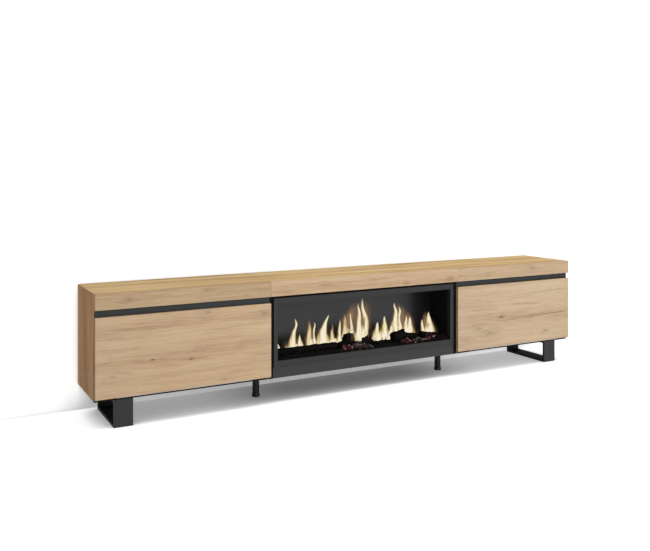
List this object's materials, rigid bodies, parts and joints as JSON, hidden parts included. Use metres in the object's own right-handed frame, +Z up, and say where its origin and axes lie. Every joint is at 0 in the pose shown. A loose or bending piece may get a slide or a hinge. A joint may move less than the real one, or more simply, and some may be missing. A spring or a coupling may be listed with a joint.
{
  "type": "fireplace tv stand",
  "caption": "Long low media stand with a drop-down cupboard at each end, a finger groove over the doors, a flame-effect fire in the middle, sled legs and levelling feet.",
  "frame": {"origin": "On the floor under the middle of the stand's bounding box.", "axes": "+X runs to the right along the front, +Y from the front to the back, +Z up from the floor."},
  "size_m": [2.6, 0.35, 0.5555],
  "materials": {
    "oak": "oak-look melamine with a fine satin grain",
    "oak_top": "oak-look melamine with a fine satin grain",
    "dark_board": "dark matt melamine",
    "black_board": "matt black melamine",
    "back_board": "thin hardboard, matt",
    "black_steel": "black powder coat, matt",
    "black_plastic": "black, matt",
    "zinc_steel": "zinc plated",
    "moulded_coal": "moulded and painted like charred wood",
    "smoked_screen": "frosted smoked acrylic",
    "mirror_steel": "polished",
    "circuit_board": "white solder mask"
  },
  "bodies": {
    "cabinet": {"left_outer_side": "oak", "left_inner_side": "dark_board", "left_top": "oak_top", "left_bottom": "dark_board", "left_back": "back_board", "left_fascia": "oak", "left_groove_rail": "black_board", "left_hinge_fixed_leaf": "zinc_steel", "left_stay_side_bracket": "zinc_steel", "left_sled_leg": "black_steel", "left_foot_stem": "black_plastic", "right_outer_side": "oak", "right_inner_side": "dark_board", "right_top": "oak_top", "right_bottom": "dark_board", "right_back": "back_board", "right_fascia": "oak", "right_groove_rail": "black_board", "right_hinge_fixed_leaf": "zinc_steel", "right_stay_side_bracket": "zinc_steel", "right_sled_leg": "black_steel", "right_foot_stem": "black_plastic", "middle_left_side": "dark_board", "middle_right_side": "dark_board", "middle_top": "oak_top", "middle_bottom": "dark_board", "middle_back": "back_board", "middle_fascia": "oak", "middle_top_rail": "black_board", "apron": "black_board", "bezel": "black_steel", "housing_floor": "black_steel", "housing_top": "black_steel", "housing_rear": "black_steel", "housing_left_wall": "black_steel", "housing_right_wall": "black_steel", "flame_screen": "smoked_screen", "bed_rail": "black_steel", "ember_bed": "moulded_coal", "left_log": "moulded_coal", "middle_log": "moulded_coal", "right_log": "moulded_coal", "light_board": "circuit_board", "flicker_motor": "black_plastic", "control_box": "black_plastic"},
    "left_flap": {"left_door": "oak", "left_hinge_door_leaf": "zinc_steel", "left_stay_door_bracket": "zinc_steel"},
    "right_flap": {"right_door": "oak", "right_hinge_door_leaf": "zinc_steel", "right_stay_door_bracket": "zinc_steel"},
    "left_stay_arm_body": {"left_stay_arm": "zinc_steel"},
    "right_stay_arm_body": {"right_stay_arm": "zinc_steel"},
    "left_stay_link_body": {"left_stay_link": "zinc_steel"},
    "right_stay_link_body": {"right_stay_link": "zinc_steel"},
    "flicker_rod_body": {"flicker_rod": "mirror_steel"},
    "rocker_body": {"rocker_switch": "black_plastic"},
    "left_foot_pad_body": {"left_foot_pad": "black_plastic"},
    "right_foot_pad_body": {"right_foot_pad": "black_plastic"}
  },
  "joints": [
    {"name": "left_door_hinge", "type": "hinge", "parent": "cabinet", "child": "left_flap", "pos_m": [-0.9125, -0.1598, 0.1256], "axis": [1, 0, 0], "range_deg": [0, 90]},
    {"name": "right_door_hinge", "type": "hinge", "parent": "cabinet", "child": "right_flap", "pos_m": [0.9125, -0.1598, 0.1256], "axis": [1, 0, 0], "range_deg": [0, 90]},
    {"name": "left_stay_arm_pivot", "type": "hinge", "parent": "cabinet", "child": "left_stay_arm_body", "pos_m": [-1.2806, -0.0498, 0.1656], "axis": [1, 0, 0], "range_deg": [0, 90]},
    {"name": "right_stay_arm_pivot", "type": "hinge", "parent": "cabinet", "child": "right_stay_arm_body", "pos_m": [1.2806, -0.0498, 0.1656], "axis": [1, 0, 0], "range_deg": [0, 90]},
    {"name": "left_stay_link_pivot", "type": "hinge", "parent": "left_stay_arm_body", "child": "left_stay_link_body", "pos_m": [-1.2782, -0.035, 0.3156], "axis": [1, 0, 0], "range_deg": [-90, 0]},
    {"name": "right_stay_link_pivot", "type": "hinge", "parent": "right_stay_arm_body", "child": "right_stay_link_body", "pos_m": [1.2782, -0.035, 0.3156], "axis": [1, 0, 0], "range_deg": [-90, 0]},
    {"name": "flicker_rod_spin", "type": "hinge", "parent": "cabinet", "child": "flicker_rod_body", "pos_m": [0, 0.062, 0.1652], "axis": [1, 0, 0], "continuous": true},
    {"name": "rocker_tilt", "type": "hinge", "parent": "cabinet", "child": "rocker_body", "pos_m": [0.464, 0.1405, 0.1782], "axis": [1, 0, 0], "range_deg": [0, 18]},
    {"name": "left_foot_levelling", "type": "slide", "parent": "cabinet", "child": "left_foot_pad_body", "axis": [0, 0, 1], "range_m": [0, 0.008]},
    {"name": "right_foot_levelling", "type": "slide", "parent": "cabinet", "child": "right_foot_pad_body", "axis": [0, 0, 1], "range_m": [0, 0.008]}
  ],
  "couplings": [
    {"joint": "left_stay_arm_pivot", "follows": "left_door_hinge", "ratio": 1},
    {"joint": "left_stay_link_pivot", "follows": "left_door_hinge", "ratio": -1},
    {"joint": "right_stay_arm_pivot", "follows": "right_door_hinge", "ratio": 1},
    {"joint": "right_stay_link_pivot", "follows": "right_door_hinge", "ratio": -1}
  ]
}
